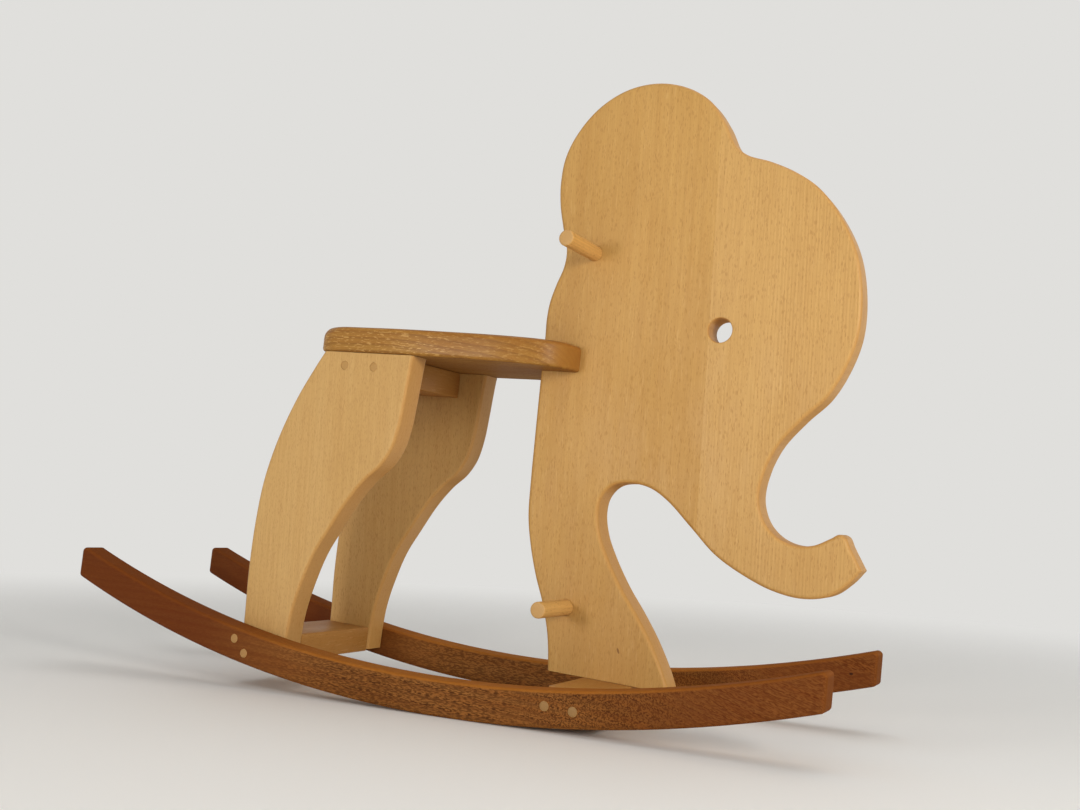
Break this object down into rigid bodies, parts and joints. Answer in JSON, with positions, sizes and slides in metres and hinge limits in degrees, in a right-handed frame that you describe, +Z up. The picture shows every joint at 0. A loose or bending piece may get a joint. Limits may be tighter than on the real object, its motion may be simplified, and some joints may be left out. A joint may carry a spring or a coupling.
{
  "type": "rocking toy",
  "caption": "Child's wooden rocking elephant: flat head board with trunk and eye hole, handle and foot-rest bars, seat on two rear legs, two curved rockers.",
  "frame": {"origin": "on the floor, under the centre of the whole toy's box", "axes": "+X towards the trunk, +Y towards the elephant's left side, +Z up; the toy stands as it rests, 3.5 degrees nose-down"},
  "size_m": [0.752, 0.2092, 0.5601],
  "materials": {
    "beech_board": "oiled, satin, fine dark flecks",
    "beech_rail": "oiled, satin",
    "beech_dowel": "oiled, satin",
    "oak_seat": "oiled, satin, open pores",
    "oak_rocker": "oiled, satin, open pores and ray flecks"
  },
  "bodies": {
    "root": {"foot_pin_1": "beech_dowel", "foot_pin_2": "beech_dowel", "foot_rest_dowel": "beech_dowel", "front_rail": "beech_rail", "front_rail_pin_left_1": "beech_dowel", "front_rail_pin_left_2": "beech_dowel", "front_rail_pin_right_1": "beech_dowel", "front_rail_pin_right_2": "beech_dowel", "handle_dowel": "beech_dowel", "head_board": "beech_board", "leg_top_pin_left_1": "beech_dowel", "leg_top_pin_left_2": "beech_dowel", "leg_top_pin_right_1": "beech_dowel", "leg_top_pin_right_2": "beech_dowel", "rear_leg_left": "beech_board", "rear_leg_right": "beech_board", "rear_rail": "beech_rail", "rear_rail_pin_left_1": "beech_dowel", "rear_rail_pin_left_2": "beech_dowel", "rear_rail_pin_right_1": "beech_dowel", "rear_rail_pin_right_2": "beech_dowel", "rocker_left": "oak_rocker", "rocker_right": "oak_rocker", "seat": "oak_seat", "seat_pin_left": "beech_dowel", "seat_pin_right": "beech_dowel", "seat_rail": "beech_rail", "slot_pin": "beech_dowel"}
  },
  "joints": []
}
